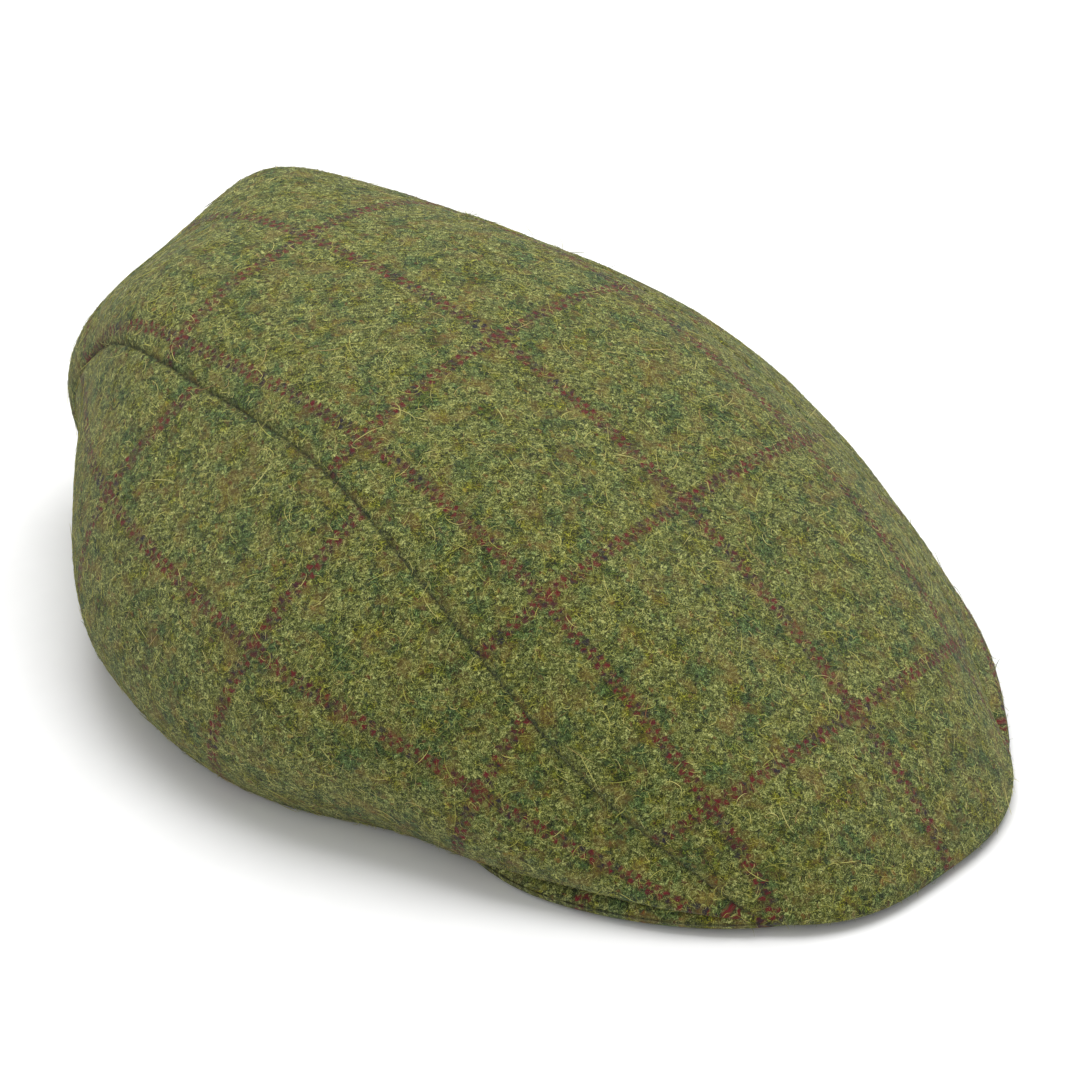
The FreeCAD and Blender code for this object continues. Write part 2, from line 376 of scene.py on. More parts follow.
def centre_pattern(dome, u, points):
    """Cloth coordinates of the centre panel: across from its middle, along from the peak."""
    fine = np.linspace(0, 1, 400)
    along = np.interp(u[:, 0], fine, lengths_along(dome.centre(fine)))
    tangent = unit(dome.centre(u[:, 0] + 0.002) - dome.centre(u[:, 0] - 0.002))[:, None]
    start = dome.centre(u[:, 0])[:, None]
    forward = ((points - start) * tangent).sum(-1)
    steps = np.diff(points, axis=1)
    level = steps - (steps * tangent).sum(-1, keepdims=True) * tangent
    width = np.cumsum(np.linalg.norm(level, axis=-1), axis=1)
    width = np.concatenate([np.zeros((len(u), 1)), width], 1)
    width -= width[:, width.shape[1] // 2, None]
    return np.stack([width, along[:, None] + forward - CHECK_START], -1)


def flattened(points, guess, rounds=1500):
    """Flat coordinates with the true lengths of a curved panel, settled from a guess by springs."""
    flat = guess.copy()
    rows, columns = flat.shape[:2]
    springs = []
    for down, right in ((1, 0), (0, 1), (1, 1), (1, -1)):
        first = (slice(0, rows - down), slice(max(-right, 0), columns - max(right, 0)))
        second = (slice(down, rows), slice(max(right, 0), columns - max(-right, 0)))
        rest = np.linalg.norm(points[second] - points[first], axis=-1)[..., None]
        springs.append((first, second, rest))
    for _ in range(rounds):
        push = np.zeros_like(flat)
        for first, second, rest in springs:
            gap = flat[second] - flat[first]
            pull = gap * (1 - rest / (np.linalg.norm(gap, axis=-1, keepdims=True) + 1e-6))
            push[first] += pull
            push[second] -= pull
        flat += 0.12 * push
    middle = rows // 2, columns // 2
    return flat + guess[middle] - flat[middle]


def side_guess(points):
    """First guess of a side panel's cloth coordinates, right for its middle."""
    from_seam = lengths_along(points.swapaxes(0, 1)).swapaxes(0, 1)
    up = from_seam[:, -1:] - from_seam
    grain = np.array(GRAIN_LINE, float)
    line = smooth([(h,) for h in grain[:, 1]])
    share = (points[..., 1] - grain[0, 0]) / (grain[-1, 0] - grain[0, 0])
    up = up - line(np.clip(share, 0, 1))[..., 0]
    crossings = np.array(SIDE_CROSSINGS)
    return np.stack([up, np.interp(points[..., 1], crossings[:, 0], crossings[:, 1])], -1)


def side_pattern(points):
    """Cloth coordinates of a side panel: up from its long check line, and along."""
    from_seam = lengths_along(points.swapaxes(0, 1)).swapaxes(0, 1)
    coarse_rows = np.linspace(0, len(points) - 1, 40).astype(int)
    coarse_columns = np.unique(np.linspace(4, points.shape[1] - 4, 16).astype(int))
    coarse_columns = np.concatenate([[0], coarse_columns, [points.shape[1] - 1]])
    coarse = np.ix_(coarse_rows, coarse_columns)
    flat = flattened(points[coarse], side_guess(points)[coarse])
    fine = np.empty((*points.shape[:2], 2))
    every = np.arange(len(points))
    for k in (0, 1):
        by_row = [np.interp(every, coarse_rows, flat[:, j, k]) for j in range(len(coarse_columns))]
        for i, values in enumerate(zip(*by_row)):
            fine[i, :, k] = np.interp(from_seam[i], from_seam[i, coarse_columns], values)
    return fine


def centre_panel(dome):
    """Outer and inner grids of the tweed centre panel, with its cloth coordinates."""
    u = np.linspace(0, 1, int(CENTRE_LENGTH / GRID))[:, None]
    half = dome.seam(u[:, 0])[:, 0] * HALF_WIDTH_SHARE
    rows = 1 - rows_from_seam(half, hem=False) / half[:, None]
    rows = np.clip(rows, 0, 1)
    across = np.concatenate([-rows[:, :-1], rows[:, ::-1]], 1)
    plain = dome.centre_points(u + 0 * across, across)
    from_seam = (1 - np.abs(across)) * half[:, None]
    run = lengths_along(dome.seam(u[:, 0]))[:, None]
    depth = seam_dip(from_seam, run) - LUMPS * wander(plain)
    from_end = np.minimum(u, 1 - u) * CENTRE_LENGTH
    depth = depth * np.clip(from_end / 12, 0, 1) + 0.9 * np.exp(-(from_end / 1.5) ** 2)
    outer = dome.centre_points(u + 0 * across, across, depth)
    inner = dome.centre_points(u + 0 * across, across, depth + CLOTH)
    inner, drawn = turned_in(inner, (1 - u) * CENTRE_LENGTH + 0 * across)
    pattern = centre_pattern(dome, u, plain)
    both = np.stack([pattern, pattern + drawn[..., None] * (0, 1)])
    # the distance from the seam places the painted seam shade, fainter at the front where the seam sinks
    # less
    return outer, inner, both, from_seam + 0.5 * (1 - seam_depth(run))


def side_panel(dome, side):
    """Outer and inner grids of a tweed side panel, on the left.

    side is 1 or -1 and picks the lumps of the left or the right panel.
    """
    u = np.linspace(0, 1, int(SIDE_LENGTH / GRID))[:, None]
    fine = dome.side_points(u + np.zeros((1, 40)), np.linspace(0, 1, 40)[None] + 0 * u)
    length = lengths_along(fine.swapaxes(0, 1))[-1]
    down = rows_from_seam(length, hem=True) / length[:, None]
    plain = dome.side_points(u + 0 * down, down)
    from_seam = down * length[:, None]
    from_hem = (1 - down) * length[:, None]
    run = lengths_along(dome.seam(u[:, 0]))[:, None]
    lumps = LUMPS * wander(plain * (side, 1, 1)) * np.clip(from_hem / 15, 0, 1)
    depth = seam_dip(from_seam, run) - lumps
    depth = depth + 1.1 * np.exp(-(from_hem / 1.0) ** 2)
    outer = dome.side_points(u + 0 * down, down, depth)
    inner = dome.side_points(u + 0 * down, down, depth + CLOTH)
    inner, drawn = turned_in(inner, np.minimum(from_hem, (1 - u) * SIDE_LENGTH))
    pattern = side_pattern(plain)
    both = np.stack([pattern, pattern - drawn[..., None] * (1, 0)])
    # the distance from the seam places the painted seam shade, fainter at the front where the seam sinks
    # less
    return outer, inner, both, from_seam + 0.5 * (1 - seam_depth(run))


# ---- lining, tapes, canvas

def quilting(pattern):
    """Depth of diamond quilting: 0 on the pillows, about 1 along the stitched lines."""
    a = (pattern[..., 0] + pattern[..., 1]) / QUILT_CELL
    b = (pattern[..., 0] - pattern[..., 1]) / QUILT_CELL
    near = np.minimum(np.abs(a - np.round(a)), np.abs(b - np.round(b))) * QUILT_CELL
    return np.exp(-(near / 2.2) ** 1.3)


def lining_panels(dome):
    """Grids of the quilted lining: centre panel and left side panel."""
    u = np.linspace(0, 1, 150)[:, None]
    across = np.linspace(-1, 1, 81)[None]
    plain = dome.centre_points(u + 0 * across, across + 0 * u)
    pattern = centre_pattern(dome, u, plain)
    run = lengths_along(dome.seam(u[:, 0]))[:, None]
    edge = seam_dip((1 - np.abs(across)) * 50, run)
    depth = 1.6 - 1.1 * quilting(pattern) - 0.5 * edge
    grids = [dome.centre_points(u + 0 * across, across + 0 * u, depth + d) for d in (-LINING, 0)]
    down = np.linspace(0, 1, 61)[None]
    side_plain = dome.side_points(u + 0 * down, down + 0 * u)
    side_cloth = side_pattern(side_plain)
    edge = seam_dip(down * 80, run)
    hem = np.clip((1 - down) * 6, 0, 1)
    side_depth = (1.3 - 1.0 * quilting(side_cloth) - 0.4 * edge) * hem
    faces = (side_depth - LINING * hem, side_depth + 0.35)
    side = [dome.side_points(u + 0 * down, down + 0 * u, depth) for depth in faces]
    return (*grids, pattern), (*side, side_cloth)


def canvas_panel(dome):
    """Grids of the stiffener behind the front of the centre panel."""
    u = np.linspace(0.02, 0.36, 60)[:, None]
    across = np.linspace(-0.86, 0.86, 50)[None] + 0 * u
    depths = (CANVAS_DEPTH, CANVAS_DEPTH + CANVAS)
    grids = [dome.centre_points(u + 0 * across, across, depth) for depth in depths]
    return (*grids, centre_pattern(dome, u, grids[0]))


def seam_tape(dome):
    """Grids of the tape under the left crown seam."""
    u = np.linspace(0.04, 0.93, 120)[:, None]
    half = dome.seam(u[:, 0])[:, 0] * HALF_WIDTH_SHARE
    offsets = np.array([-1, -0.5, 0, 0.5, 1]) * TAPE_HALF_WIDTH
    across = 1 + offsets[None, :3] / half[:, None]
    down = offsets[None, 3:] / 80 + 0 * u
    grids = []
    for depth in (TAPE_DEPTH, TAPE_DEPTH + TAPE):
        on_centre = dome.centre_points(u + 0 * across, across, depth)
        on_side = dome.side_points(u + 0 * down, down, depth)
        grids.append(np.concatenate([on_centre, on_side], 1))
    run = lengths_along(grids[0][:, 2])[:, None]
    wide = offsets[None] + 0 * u
    return (*grids, np.stack([wide, run + 0 * wide], -1))


# ---- peak and sweatband

def mirrored(half):
    """A plan curve from its right end to its left end, from its left half."""
    return [(-x, y) for x, y in reversed(half[1:])] + list(half)


def peak_grid(cut_back, rim, columns=150, rows=26):
    """Plan points of a peak layer and their distances in from its edge, finer in the rim."""
    a = np.linspace(0, 1, columns)
    from_tip = np.minimum(a, 1 - a) * PEAK_SPAN
    brow = smooth(mirrored(PEAK_BROW))(a)
    front = smooth(mirrored(PEAK_FRONT))(a)
    front = front + (brow - front) * 0.7 * np.exp(-(from_tip / 26) ** 2)[:, None]
    depth = np.linalg.norm(front - brow, axis=-1)
    inset = rim * np.array([2.2, 1.5, 1.1, 0.8, 0.55, 0.33, 0.17, 0.06, 0])
    squeeze = np.minimum(depth / 14, 1)[:, None]
    reach = (depth - cut_back)[:, None]
    start = reach - inset[0] * squeeze
    from_brow = np.concatenate([start * np.linspace(0, 1, rows)[:-1], reach - inset * squeeze], 1)
    plan = brow[:, None] + (front - brow)[:, None] * (from_brow / depth[:, None])[..., None]
    return plan, np.minimum(reach - from_brow, from_tip[:, None])


def peak_layer(cut_back, rim, kind):
    """Grids of a peak layer with a round edge: the upper or under cover, or the board."""
    plan, inset = peak_grid(cut_back, rim)
    near = np.clip(rim - inset, 0, rim)
    half = np.sqrt(rim ** 2 - near ** 2)
    middle = PEAK_MIDDLE + PEAK_ARCH * (1 - (plan[..., 0] / PEAK_HALF_WIDTH) ** 2)
    # run over the edge and down its side, so that the weave isn't stretched there
    pattern = plan * (1 + (rim * np.arcsin(near / rim) - near) / 100)[..., None] + (0, 20)
    if kind == "board":
        heights = (middle + half, middle - half)
    elif kind == "upper":
        # the seam allowance of the crown fills the step behind the rim
        lift = 0.75 * np.clip((inset - 1.6) / 2.0, 0, 1)
        heights = (middle + half + lift, middle + np.clip(half - 1.1, 0.02, None))
    else:
        heights = (middle - np.clip(half - 1.1, 0.02, None), middle - half)
    grids = [np.concatenate([plan, h[..., None]], -1) for h in heights]
    return (*grids, pattern)


def head_loop(count=240):
    """Closed loop of the head oval with outward normals."""
    start = [(-x, y) for x, y in reversed(HEAD_OVAL[1:4])]
    end = [(-x, y) for x, y in reversed(HEAD_OVAL[-4:-1])]
    points = start + HEAD_OVAL + end
    curve = smooth(points)
    place = (3 + np.linspace(0, 1, count // 2 + 1) * (len(HEAD_OVAL) - 1)) / (len(points) - 1)
    left = curve(place)
    run = curve(place + 0.001) - curve(place - 0.001)
    normal = unit(np.stack([run[:, 1], -run[:, 0]], -1))
    loop = np.concatenate([left, left[-2:0:-1] * (-1, 1)])
    normals = np.concatenate([normal, normal[-2:0:-1] * (-1, 1)])
    return loop, normals


def sweatband_object():
    """Ribbed band with a rolled lower edge, a turned top edge and a lapped join at the back."""
    loop, normals = head_loop()
    count = len(loop)
    section = [
        (0.0, 0.55), (0.25, 0.15), (0.55, 0.0), (0.85, 0.15), (1.1, 0.55), (1.1, 3.0), (1.1, 8.0),
        (1.1, 14.0), (1.1, 20.0), (1.1, 25.0), (1.1, 27.4), (0.8, 27.9), (0.45, 28.0), (0.1, 27.8),
        (-0.15, 27.0),
        (-0.2, 25.4), (-0.05, 24.9), (0.0, 24.0), (0.0, 18.0), (0.0, 12.0), (0.0, 6.0), (0.0, 3.2),
        (0.12, 2.7), (0.0, 2.2), (0.0, 1.4),
    ]
    run = lengths_along(loop)
    wave = 0.25 * np.sin(run / 17.0) + 0.15 * np.sin(run / 7.3 + 1.0)
    points = []
    cloth = []
    walk = 0.0
    for i, (out, z) in enumerate(section):
        if i:
            walk += math.dist(section[i - 1], section[i])
        free = math.sin(math.pi * z / BAND_HEIGHT)
        inside = 0.3 < z < 27.5 and out < 0.6
        lap = 0.45 * np.clip(1.5 - np.abs(run - run[-1] / 2) / 2.0, 0, 1) * inside
        ring = loop + normals * (out + wave * free * 0.6 - lap)[:, None]
        points.append(np.concatenate([ring, np.full((count, 1), z)], 1))
        cloth.append(np.stack([np.full(count, walk), run, np.full(count, z)], -1))
    points = np.stack(points)
    rows = len(section)
    index = np.arange(rows * count).reshape(rows, count)
    ahead = np.roll(index, -1, axis=1)
    quads = np.stack([index, ahead, np.roll(ahead, -1, axis=0), np.roll(index, -1, axis=0)], -1)
    points = settled(points.reshape(-1, 3))
    return new_object("sweatband_cloth", points, quads.reshape(-1, 4), {"cloth": np.concatenate(cloth)})


# ---- loose fibres

def outer_quads(panel):
    """Corner points, in millimetres, of the faces on a panel's outer side."""
    points = np.empty(len(panel.data.vertices) * 3)
    panel.data.vertices.foreach_get("co", points)
    points = points.reshape(-1, 3) / MM
    quads = np.empty(len(panel.data.polygons) * 4, int)
    panel.data.polygons.foreach_get("vertices", quads)
    quads = quads.reshape(-1, 4)
    return points[quads[(quads < len(points) // 2).all(1)]]


def fibre_paths(random, corners, count, length, joints):
    """Curly paths that leave the cloth and come back to it, with their side and upward directions."""
    side_a = corners[:, 1] - corners[:, 0]
    side_b = corners[:, 3] - corners[:, 0]
    normal = np.cross(side_a, side_b)
    area = np.linalg.norm(normal, axis=1)
    pick = random.choice(len(corners), count, p=area / area.sum())
    f, g = random.random((2, count, 1))
    root = corners[pick, 0] + side_a[pick] * f + side_b[pick] * g
    normal = normal[pick] / area[pick, None]
    heading = unit(np.cross(normal, unit(random.normal(size=(count, 3)))))
    size = length * np.clip(random.lognormal(0, 0.3, (count, 1)), 0.4, 1.6)
    curl = random.normal(0, 2.2, (count, 1)) / size
    lift = FIBRE_LIFT * random.random((count, 1)) ** 1.5
    path = []
    sides = []
    place = root - normal * 0.12
    step = size / joints
    for k in range(joints + 1):
        hop = math.sin(math.pi * min(k / joints * 1.05, 1.0))
        path.append(place + normal * lift * hop)
        side = np.cross(normal, heading)
        sides.append(side)
        bend = curl * (1 + 0.8 * math.sin(k * 1.7)) * step
        heading = unit(heading + side * bend)
        place = place + heading * step
    sides = np.stack(sides, 1)
    return np.stack(path, 1), sides, normal[:, None] + 0 * sides


def fibres(name, panel, count, kind, seed):
    """Fine curly wool fibres lying on the outer face of a panel, as three-sided tubes."""
    length, radius, joints = kind
    random = np.random.default_rng(seed)
    path, side, upright = fibre_paths(random, outer_quads(panel), count, length, joints)
    taper = np.sin(np.linspace(0.35, 2.9, joints + 1))[None, :, None]
    thick = radius * random.uniform(0.7, 1.4, (count, 1, 1)) * taper
    rings = []
    for angle in (math.pi / 2, math.pi * 7 / 6, math.pi * 11 / 6):
        rings.append(path + (side * math.cos(angle) + upright * math.sin(angle)) * thick)
    points = np.stack(rings, 2)
    keep = points[..., 2].min((1, 2)) > FLOOR_CLEARANCE
    points, count = points[keep], int(keep.sum())
    index = np.arange(count * (joints + 1) * 3).reshape(count, joints + 1, 3)
    ahead = np.roll(index, -1, axis=2)
    quads = np.stack([index[:, :-1], ahead[:, :-1], ahead[:, 1:], index[:, 1:]], -1).reshape(-1, 4)
    tone = np.repeat(random.random(count), (joints + 1) * 3)
    return new_object(name, points.reshape(-1, 3), quads, {"tone": tone})


# ---- materials

def colour(red, green, blue):
    """Linear colour from 0 to 255 screen values."""
    out = []
    for value in (red, green, blue):
        v = value / 255
        out.append(v / 12.92 if v <= 0.04045 else ((v + 0.055) / 1.055) ** 2.4)
    return (*out, 1.0)


class Nodes:
    """Short calls for building one material's nodes. Noise scales are per millimetre of cloth."""

    def __init__(self, name, sheen=0.0, sheen_roughness=0.5, specular=0.3):
        self.material = bpy.data.materials.new(name)
        self.material.use_nodes = True
        self.tree = self.material.node_tree
        self.shader = self.tree.nodes["Principled BSDF"]
        self.shader.inputs["Sheen Weight"].default_value = sheen
        self.shader.inputs["Sheen Roughness"].default_value = sheen_roughness
        self.shader.inputs["Specular IOR Level"].default_value = specular

    def node(self, kind, **settings):
        made = self.tree.nodes.new(kind)
        for key, value in settings.items():
            setattr(made, key, value)
        return made

    def put(self, socket, value):
        if isinstance(value, bpy.types.NodeSocket):
            self.tree.links.new(value, socket)
        else:
            socket.default_value = value

    def math(self, operation, *values):
        made = self.node("ShaderNodeMath", operation=operation)
        for socket, value in zip(made.inputs, values):
            self.put(socket, value)
        return made.outputs[0]

    def plus(self, a, b):
        return self.math("ADD", a, b)

    def minus(self, a, b):
        return self.math("SUBTRACT", a, b)

    def times(self, a, b):
        return self.math("MULTIPLY", a, b)

    def parts(self, vector):
        """The three components of a vector."""
        made = self.node("ShaderNodeSeparateXYZ")
        self.put(made.inputs[0], vector)
        return made.outputs

    def attribute(self, name):
        return self.node("ShaderNodeAttribute", attribute_name=name)

    def scaled(self, vector, factors, shift=(0, 0, 0), angle=0.0):
        made = self.node("ShaderNodeMapping")
        self.put(made.inputs["Vector"], vector)
        made.inputs["Location"].default_value = shift
        made.inputs["Rotation"].default_value = (0, 0, angle)
        made.inputs["Scale"].default_value = factors
        return made.outputs[0]

    def noise(self, vector, scale, detail=2.0, roughness=0.5, distortion=0.0, output=0):
        made = self.node("ShaderNodeTexNoise")
        self.put(made.inputs["Vector"], vector)
        made.inputs["Scale"].default_value = scale
        made.inputs["Detail"].default_value = detail
        made.inputs["Roughness"].default_value = roughness
        made.inputs["Distortion"].default_value = distortion
        return made.outputs[output]

    def cells(self, vector, scale):
        made = self.node("ShaderNodeTexVoronoi")
        self.put(made.inputs["Vector"], vector)
        made.inputs["Scale"].default_value = scale
        return made

    def ramp(self, value, stops):
        made = self.node("ShaderNodeValToRGB")
        self.put(made.inputs[0], value)
        elements = made.color_ramp.elements
        while len(elements) < len(stops):
            elements.new(0.5)
        for element, (place, tint) in zip(elements, stops):
            element.position = place
            element.color = tint
        return made.outputs[0]

    def mix(self, amount, a, b, blend="MIX"):
        made = self.node("ShaderNodeMix", data_type="RGBA", blend_type=blend)
        self.put(made.inputs[0], amount)
        self.put(made.inputs[6], a)
        self.put(made.inputs[7], b)
        return made.outputs[2]

    def between(self, value, low, high):
        """0 below low, 1 above high, smooth between."""
        made = self.node("ShaderNodeMapRange", interpolation_type="SMOOTHSTEP")
        self.put(made.inputs[0], value)
        made.inputs[1].default_value = low
        made.inputs[2].default_value = high
        return made.outputs[0]

    def bump(self, height, distance, strength=1.0):
        made = self.node("ShaderNodeBump")
        self.put(made.inputs["Height"], height)
        made.inputs["Distance"].default_value = distance
        made.inputs["Strength"].default_value = strength
        self.tree.links.new(made.outputs[0], self.shader.inputs["Normal"])


def check_line(n, offset, run, period, shift):
    """Mask, band and tint noise of the check lines at whole periods of offset."""
    wobble = n.times(n.minus(n.noise(run, 0.12, 1.0), 0.5), 1.6)
    shifted = n.plus(n.plus(offset, wobble), period / 2)
    local = n.minus(n.math("FLOORED_MODULO", shifted, period), period / 2)
    width = n.math("ABSOLUTE", local)
    # floats of coloured yarn on either side of the line, half a step apart
    stagger = n.times(n.math("SIGN", local), math.pi / 2)
    phase = n.plus(n.times(run, 2 * math.pi / YARN_STEP), stagger)
    beads = n.between(n.math("SINE", phase), -0.45, 0.45)
    band = n.minus(1.0, n.between(width, 1.2, 2.2))
    core = n.between(width, -0.1, 0.5)
    mask = n.times(n.times(band, beads), core)
    tint = n.noise(n.plus(run, shift), 0.21, 2.0)
    return mask, band, tint


def stirred(n, cloth):
    """Cloth coordinates moved about a little, since matted fibres blur the threads."""
    centred = n.node("ShaderNodeVectorMath", operation="SUBTRACT")
    n.put(centred.inputs[0], n.noise(cloth, 1.1, output=1))
    centred.inputs[1].default_value = (0.5, 0.5, 0.5)
    moved = n.node("ShaderNodeVectorMath", operation="MULTIPLY_ADD")
    n.put(moved.inputs[0], centred.outputs[0])
    moved.inputs[1].default_value = (2.2, 2.2, 0)
    n.put(moved.inputs[2], cloth)
    return moved.outputs[0]


def wool_ground(n, cloth, matted, shade):
    """Green of the tweed: dark to light fibres, broad tints and small coloured flecks."""
    ground = n.ramp(shade, [
        (0.41, colour(18, 23, 1)), (0.467, colour(62, 69, 17)), (0.505, colour(98, 106, 45)),
        (0.543, colour(140, 146, 79)), (0.595, colour(204, 207, 128)),
    ])
    blotch = n.noise(cloth, 0.17, 3.0, 0.65, 0.5)
    ground = n.mix(n.between(blotch, 0.48, 0.66), ground, colour(150, 140, 20), "SOFT_LIGHT")
    for shift, scale, low, high, strength, tint, blend in (
        ((50, 90, 0), 0.12, 0.46, 0.66, 0.72, colour(72, 124, 124), "OVERLAY"),
        ((150, 30, 0), 0.14, 0.50, 0.68, 0.38, colour(128, 92, 42), "MIX"),
    ):
        patch = n.noise(n.scaled(matted, (1, 1, 1), shift), scale, 3.0, 0.6, 0.5)
        ground = n.mix(n.times(n.between(patch, low, high), strength), ground, tint, blend)
    flecks = n.cells(n.scaled(matted, (0.9, 0.5, 1), angle=0.6), 1.0)
    chance = n.node("ShaderNodeSeparateColor")
    n.put(chance.inputs[0], flecks.outputs["Color"])
    spot = n.minus(1.0, n.between(flecks.outputs["Distance"], 0.1, 0.6))
    for i, (least, strength, tint) in enumerate((
        (0.86, 0.35, colour(150, 62, 30)),
        (0.86, 0.5, colour(158, 152, 50)),
        (0.82, 0.3, colour(42, 68, 60)),
    )):
        chosen = n.times(spot, n.between(chance.outputs[i], least, least + 0.06))
        ground = n.mix(n.times(chosen, strength), ground, tint)
    return ground


def with_check(n, matted, ground, keep):
    """The ground with its maroon and navy check lines, and how far the lines' floats stand up."""
    place = n.parts(matted)
    lines = (
        check_line(n, place[0], place[1], CHECK_ACROSS, 13.0),
        check_line(n, place[1], place[0], CHECK_ALONG, 71.0),
    )
    for mask, band, tint in lines:
        yarn = n.ramp(tint, [
            (0.38, colour(34, 30, 40)), (0.44, colour(70, 22, 28)), (0.50, colour(108, 14, 26)),
            (0.56, colour(90, 40, 24)), (0.62, colour(40, 32, 40)),
        ])
        ground = n.mix(n.times(band, 0.28), ground, colour(74, 50, 32))
        ground = n.mix(n.times(n.times(mask, keep), 0.97), ground, yarn)
    return ground, n.times(n.math("MAXIMUM", lines[0][0], lines[1][0]), 0.12)


def tweed():
    """Woollen twill with a windowpane check, laid out in the flat pattern of each panel."""
    n = Nodes("woollen_tweed", sheen=0.12, sheen_roughness=0.55, specular=0.15)
    cloth = n.attribute("cloth").outputs["Vector"]
    across, along, _ = n.parts(cloth)
    matted = stirred(n, cloth)

    # fibres lie along both sets of threads and along the twill
    warp = n.noise(n.scaled(matted, (2.1, 0.8, 1)), 1.0, 2.0, 0.65, 0.8)
    weft = n.noise(n.scaled(matted, (0.8, 2.1, 1), (31, 7, 0)), 1.0, 2.0, 0.65, 0.8)
    fine = n.noise(cloth, 3.0, 2.0, 0.6, 0.4)
    clumps = n.noise(matted, 0.55, 2.0, 0.6)
    twill = n.math("SINE", n.times(n.plus(across, along), 2 * math.pi / TWILL_STEP))
    wool = n.plus(n.plus(warp, weft), n.plus(fine, n.times(clumps, 0.45)))
    shade = n.plus(n.times(wool, 1 / 3.45), n.times(twill, 0.006))

    hidden = n.times(n.between(n.plus(fine, clumps), 1.02, 1.2), 0.45)
    ground = wool_ground(n, cloth, matted, shade)
    ground, raised = with_check(n, matted, ground, n.minus(1.0, hidden))

    # painted shade darkens the cloth along the seam grooves, patchy along the seam
    seam_shade_mask = n.minus(1.0, n.between(n.attribute("seam").outputs["Fac"], 0.1, 1.0))
    seam_shade_breakup = n.between(n.noise(cloth, 0.9, 2.0, 0.6), 0.35, 0.6)
    painted_seam_shade = n.times(seam_shade_mask, n.plus(n.times(seam_shade_breakup, 0.4), 0.25))
    n.put(n.shader.inputs["Base Color"], n.mix(painted_seam_shade, ground, colour(26, 28, 14)))
    n.put(n.shader.inputs["Roughness"], n.plus(n.times(shade, 0.15), 0.82))
    n.bump(n.plus(shade, n.plus(n.times(twill, 0.02), raised)), 0.0016)
    return n.material


def wool_fibre():
    """Loose wool, each fibre with its own tone."""
    n = Nodes("wool_fibre", sheen=0.2, specular=0.2)
    tone = n.attribute("tone").outputs["Fac"]
    tint = n.ramp(tone, [
        (0.0, colour(78, 88, 28)), (0.35, colour(132, 136, 52)), (0.7, colour(190, 187, 92)),
        (0.95, colour(210, 202, 122)), (1.0, colour(144, 86, 50)),
    ])
    n.put(n.shader.inputs["Base Color"], tint)
    n.shader.inputs["Roughness"].default_value = 0.8
    return n.material


def satin():
    """Dark satin of the lining, with stitches along the quilting."""
    n = Nodes("quilted_lining", sheen=0.1, specular=0.45)
    cloth = n.attribute("cloth").outputs["Vector"]
    place = n.parts(cloth)
    marks = []
    for sign in (1, -1):
        a = n.plus(place[0], n.times(place[1], sign))
        run = n.minus(place[0], n.times(place[1], sign))
        cell = n.math("FLOORED_MODULO", n.plus(a, QUILT_CELL / 2), QUILT_CELL)
        local = n.math("ABSOLUTE", n.minus(cell, QUILT_CELL / 2))
        line = n.minus(1.0, n.between(local, 0.3, 0.7))
        dash = n.between(n.math("SINE", n.times(run, 2 * math.pi / 4.2)), -0.5, -0.2)
        marks.append(n.times(line, dash))
    stitches = n.math("MAXIMUM", *marks)
    threads = n.noise(n.scaled(cloth, (0.6, 9.0, 1)), 1.0, 2.0, 0.5)
    body = n.ramp(threads, [
        (0.35, colour(38, 44, 34)), (0.5, colour(50, 56, 44)), (0.65, colour(64, 70, 54)),
    ])
    n.put(n.shader.inputs["Base Color"], n.mix(stitches, body, colour(92, 94, 70)))
    n.put(n.shader.inputs["Roughness"], n.plus(n.times(threads, 0.2), 0.30))
    n.bump(n.plus(n.times(threads, 0.15), stitches), 0.0004, 0.8)
    return n.material


def band_cloth():
    """Ribbed ribbon of the sweatband, with a row of stitches along each edge."""
    n = Nodes("sweatband_ribbon", sheen=0.15, specular=0.25)
    cloth = n.attribute("cloth").outputs["Vector"]
    place = n.parts(cloth)
    rib = n.math("SINE", n.times(place[1], 2 * math.pi / 1.1))
    grain = n.noise(n.scaled(cloth, (3.0, 1.2, 0.1)), 1.0, 2.0, 0.6)
    body = n.ramp(grain, [
        (0.3, colour(30, 33, 28)), (0.5, colour(44, 47, 40)), (0.7, colour(60, 62, 52)),
    ])
    rows = []
    for height in (2.5, 25.2):
        away = n.math("ABSOLUTE", n.minus(place[2], height))
        near = n.minus(1.0, n.between(away, 0.25, 0.5))
        dash = n.between(n.math("SINE", n.times(place[1], 2 * math.pi / 3.0)), -0.6, -0.3)
        rows.append(n.times(near, dash))
    stitches = n.math("MAXIMUM", *rows)
    n.put(n.shader.inputs["Base Color"], n.mix(stitches, body, colour(104, 104, 78)))
    n.put(n.shader.inputs["Roughness"], n.plus(n.times(grain, 0.2), 0.65))
    n.bump(n.plus(n.times(rib, 0.35), n.plus(grain, stitches)), 0.0003, 0.8)
    return n.material


def plain_weave(name, light, dark, pitch):
    """Open plain weave for canvas and tape."""
    n = Nodes(name, specular=0.2)
    cloth = n.attribute("cloth").outputs["Vector"]
    place = n.parts(cloth)
    waves = [n.math("SINE", n.times(place[i], 2 * math.pi / pitch)) for i in (0, 1)]
    weave = n.times(*waves)
    slub = n.noise(n.scaled(cloth, (0.4, 3.0, 1)), 1.0, 3.0, 0.6)
    height = n.plus(n.times(weave, 0.3), slub)
    n.put(n.shader.inputs["Base Color"], n.ramp(height, [(0.3, dark), (0.7, light)]))
    n.put(n.shader.inputs["Roughness"], n.plus(n.times(slub, 0.2), 0.7))
    n.bump(height, 0.0003, 0.7)
    return n.material


